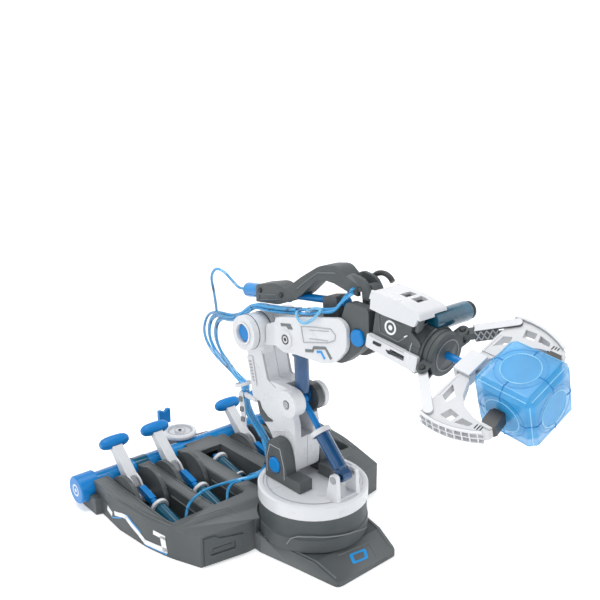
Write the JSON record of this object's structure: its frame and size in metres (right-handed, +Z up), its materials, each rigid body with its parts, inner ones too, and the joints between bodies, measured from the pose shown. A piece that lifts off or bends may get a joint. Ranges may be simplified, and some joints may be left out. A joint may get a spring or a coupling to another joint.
{
  "type": "hydraulic robot arm kit",
  "caption": "Hydraulic robot arm kit: lever-worked base with water tank and turntable, column and forearm moved by syringe cylinders, turning wrist, claw and faceted ball.",
  "frame": {"origin": "on the floor, under the turntable's axis", "axes": "+Z up along the turntable's axis; -Y forward, the way the prow and the arm point; +X to the right of someone behind the levers, across the row of levers"},
  "size_m": [0.28, 0.4719, 0.2648],
  "materials": {
    "grey": "fine matte moulded dark grey plastic",
    "dark": "near-black matte plastic",
    "white": "semi-gloss white plastic",
    "blue": "glossy opaque blue plastic",
    "clear_teal": "translucent dark blue cylinder plastic",
    "clear_blue": "translucent mid-blue tank plastic",
    "clear_gem": "translucent sky-blue plastic",
    "hose": "clear flexible tube filled with blue water"
  },
  "bodies": {
    "base": {"base_shell": "grey", "turntable_drum": "grey", "master_barrel_1": "clear_teal", "master_barrel_2": "clear_teal", "master_barrel_3": "clear_teal", "master_barrel_4": "clear_teal", "channel_barrel": "clear_teal", "tank_tube": "clear_blue", "tank_cap_near": "blue", "tank_cap_far": "blue", "deck_hose": "hose"},
    "lever_1": {"lever_arm_1": "white", "lever_grip_1": "blue"},
    "lever_2": {"lever_arm_2": "white", "lever_grip_2": "blue"},
    "lever_3": {"lever_arm_3": "white", "lever_grip_3": "blue"},
    "lever_4": {"lever_arm_4": "white", "lever_grip_4": "blue"},
    "push_1": {"push_rod_1": "blue"},
    "push_2": {"push_rod_2": "blue"},
    "push_3": {"push_rod_3": "blue"},
    "push_4": {"push_rod_4": "blue"},
    "channel_plunger": {"channel_rod": "blue"},
    "wheel": {"hand_wheel": "white"},
    "key": {"valve_key": "blue"},
    "yaw_table": {"turntable": "white", "shoulder_bracket_near": "grey", "shoulder_bracket_far": "grey", "shoulder_pin": "blue", "riser_hose": "hose"},
    "column": {"column_near": "white", "column_far": "white", "knuckle_pin": "dark", "elbow_pin": "blue", "loop_hose": "hose"},
    "shoulder_cylinder": {"shoulder_barrel": "clear_teal"},
    "shoulder_plunger": {"shoulder_rod": "blue"},
    "elbow_cylinder": {"elbow_barrel": "clear_teal"},
    "elbow_plunger": {"elbow_rod": "blue"},
    "forearm": {"forearm_core": "grey", "forearm_panel_near": "white", "forearm_panel_far": "white", "wrist_pin": "blue", "tilt_rod": "blue", "forearm_hose": "hose"},
    "tilt_slider": {"tilt_barrel": "clear_blue", "tilt_frame": "grey", "tilt_hose": "hose"},
    "wrist": {"wrist_housing": "grey", "wrist_cover": "white", "side_strip": "white", "roll_barrel": "clear_teal"},
    "head": {"head_disc": "grey"},
    "claw_plunger": {"plunger": "blue"},
    "link_near": {"claw_link_near": "white"},
    "link_far": {"claw_link_far": "grey"},
    "finger_near": {"finger_near": "white"},
    "finger_far": {"finger_far": "white"},
    "ball": {"gem_ball": "clear_gem"}
  },
  "joints": [
    {"name": "lever_1_swing", "type": "hinge", "parent": "base", "child": "lever_1", "pos_m": [-0.094, 0.147, 0.0115], "axis": [1, 0, 0], "range_deg": [0, 38]},
    {"name": "lever_2_swing", "type": "hinge", "parent": "base", "child": "lever_2", "pos_m": [-0.047, 0.147, 0.0115], "axis": [1, 0, 0], "range_deg": [-6, 38]},
    {"name": "lever_3_swing", "type": "hinge", "parent": "base", "child": "lever_3", "pos_m": [0.047, 0.147, 0.0115], "axis": [1, 0, 0], "range_deg": [-6, 38]},
    {"name": "lever_4_swing", "type": "hinge", "parent": "base", "child": "lever_4", "pos_m": [0.094, 0.147, 0.0115], "axis": [1, 0, 0], "range_deg": [-6, 38]},
    {"name": "push_1_slide", "type": "slide", "parent": "base", "child": "push_1", "axis": [0, -0.9799, -0.1994], "range_m": [0, 0.0089]},
    {"name": "push_2_slide", "type": "slide", "parent": "base", "child": "push_2", "axis": [0, -0.9799, -0.1994], "range_m": [-0.0015, 0.0089]},
    {"name": "push_3_slide", "type": "slide", "parent": "base", "child": "push_3", "axis": [0, -0.9799, -0.1994], "range_m": [-0.0015, 0.0089]},
    {"name": "push_4_slide", "type": "slide", "parent": "base", "child": "push_4", "axis": [0, -0.9799, -0.1994], "range_m": [-0.0015, 0.0089]},
    {"name": "wheel_turn", "type": "hinge", "parent": "base", "child": "wheel", "pos_m": [-0.0085, 0.205, 0.026], "axis": [0, 0, 1], "range_deg": [-120, 120]},
    {"name": "channel_slide", "type": "slide", "parent": "base", "child": "channel_plunger", "axis": [0, -0.9799, -0.1994], "range_m": [-0.0055, 0.0055]},
    {"name": "key_turn", "type": "hinge", "parent": "base", "child": "key", "pos_m": [-0.014, 0.2275, 0.035], "axis": [0, 0, 1], "range_deg": [-90, 90]},
    {"name": "turntable_yaw", "type": "hinge", "parent": "base", "child": "yaw_table", "pos_m": [0, 0, 0.0465], "axis": [0, 0, 1], "range_deg": [-75, 75], "deforming": ["deck_hose"]},
    {"name": "shoulder_lean", "type": "hinge", "parent": "yaw_table", "child": "column", "pos_m": [0, 0.022, 0.074], "axis": [1, 0, 0], "range_deg": [-19.5, 3.5], "deforming": ["riser_hose"]},
    {"name": "shoulder_barrel_swing", "type": "hinge", "parent": "yaw_table", "child": "shoulder_cylinder", "pos_m": [0, -0.04, 0.079], "axis": [1, 0, 0], "range_deg": [-9.6, 1.8]},
    {"name": "shoulder_rod_swing", "type": "hinge", "parent": "column", "child": "shoulder_plunger", "pos_m": [0, 0.0135, 0.133], "axis": [1, 0, 0], "range_deg": [-1.9, 10.4]},
    {"name": "elbow_raise", "type": "hinge", "parent": "column", "child": "forearm", "pos_m": [0, 0.06, 0.1895], "axis": [-1, 0, 0], "range_deg": [-3.2, 19.5], "deforming": ["loop_hose", "tilt_hose"]},
    {"name": "elbow_barrel_swing", "type": "hinge", "parent": "column", "child": "elbow_cylinder", "pos_m": [0, 0.0135, 0.133], "axis": [-1, 0, 0], "range_deg": [-0.4, 1.9]},
    {"name": "elbow_rod_swing", "type": "hinge", "parent": "forearm", "child": "elbow_plunger", "pos_m": [0, 0.017, 0.193], "axis": [-1, 0, 0], "range_deg": [-17.6, 2.8]},
    {"name": "tilt_slide", "type": "slide", "parent": "forearm", "child": "tilt_slider", "axis": [0, 0.9921, -0.1253], "range_m": [-0.0016, 0.0095]},
    {"name": "wrist_tilt", "type": "hinge", "parent": "forearm", "child": "wrist", "pos_m": [0, -0.07, 0.216], "axis": [-1, 0, 0], "range_deg": [-2.5, 15.4], "deforming": ["forearm_hose"]},
    {"name": "head_roll", "type": "hinge", "parent": "wrist", "child": "head", "pos_m": [0, -0.14231, 0.21745], "axis": [0, -0.9903, -0.1392], "range_deg": [-61, 61]},
    {"name": "claw_slide", "type": "slide", "parent": "head", "child": "claw_plunger", "axis": [0, -0.9903, -0.1392], "range_m": [0, 0.0082]},
    {"name": "link_near_swing", "type": "hinge", "parent": "head", "child": "link_near", "pos_m": [-0.02067, -0.13754, 0.20794], "axis": [-0.4384, -0.1251, 0.89], "range_deg": [0, 0.9]},
    {"name": "link_far_swing", "type": "hinge", "parent": "head", "child": "link_far", "pos_m": [0.02067, -0.14034, 0.22791], "axis": [0.4384, 0.1251, -0.89], "range_deg": [0, 0.9]},
    {"name": "finger_near_swing", "type": "hinge", "parent": "link_near", "child": "finger_near", "pos_m": [-0.04494, -0.16401, 0.19227], "axis": [-0.4384, -0.1251, 0.89], "range_deg": [-11, 0]},
    {"name": "finger_far_swing", "type": "hinge", "parent": "link_far", "child": "finger_far", "pos_m": [0.04494, -0.17011, 0.23568], "axis": [0.4384, 0.1251, -0.89], "range_deg": [-11, 0]},
    {"name": "ball_release", "type": "slide", "parent": "head", "child": "ball", "axis": [0, -0.9903, -0.1392], "range_m": [0, 0.08]}
  ],
  "couplings": [
    {"joint": "push_1_slide", "follows": "lever_1_swing", "m_per_rad": 0.01315},
    {"joint": "push_2_slide", "follows": "lever_2_swing", "m_per_rad": 0.01315},
    {"joint": "push_3_slide", "follows": "lever_3_swing", "m_per_rad": 0.01315},
    {"joint": "push_4_slide", "follows": "lever_4_swing", "m_per_rad": 0.01315},
    {"joint": "channel_slide", "follows": "wheel_turn", "m_per_rad": 0.0025},
    {"joint": "head_roll", "follows": "wheel_turn", "ratio": 0.5},
    {"joint": "shoulder_lean", "follows": "lever_4_swing", "ratio": -0.5},
    {"joint": "shoulder_barrel_swing", "follows": "lever_4_swing", "ratio": -0.23814},
    {"joint": "shoulder_rod_swing", "follows": "lever_4_swing", "ratio": 0.26186},
    {"joint": "elbow_raise", "follows": "lever_3_swing", "ratio": 0.5},
    {"joint": "elbow_barrel_swing", "follows": "lever_3_swing", "ratio": 0.0463},
    {"joint": "elbow_rod_swing", "follows": "lever_3_swing", "ratio": -0.4537},
    {"joint": "wrist_tilt", "follows": "lever_2_swing", "ratio": 0.4},
    {"joint": "tilt_slide", "follows": "lever_2_swing", "m_per_rad": 0.01404},
    {"joint": "claw_slide", "follows": "lever_1_swing", "m_per_rad": 0.012063},
    {"joint": "link_near_swing", "follows": "lever_1_swing", "ratio": 0.0177},
    {"joint": "link_far_swing", "follows": "lever_1_swing", "ratio": 0.0177},
    {"joint": "finger_near_swing", "follows": "lever_1_swing", "ratio": -0.2791},
    {"joint": "finger_far_swing", "follows": "lever_1_swing", "ratio": -0.2791}
  ]
}
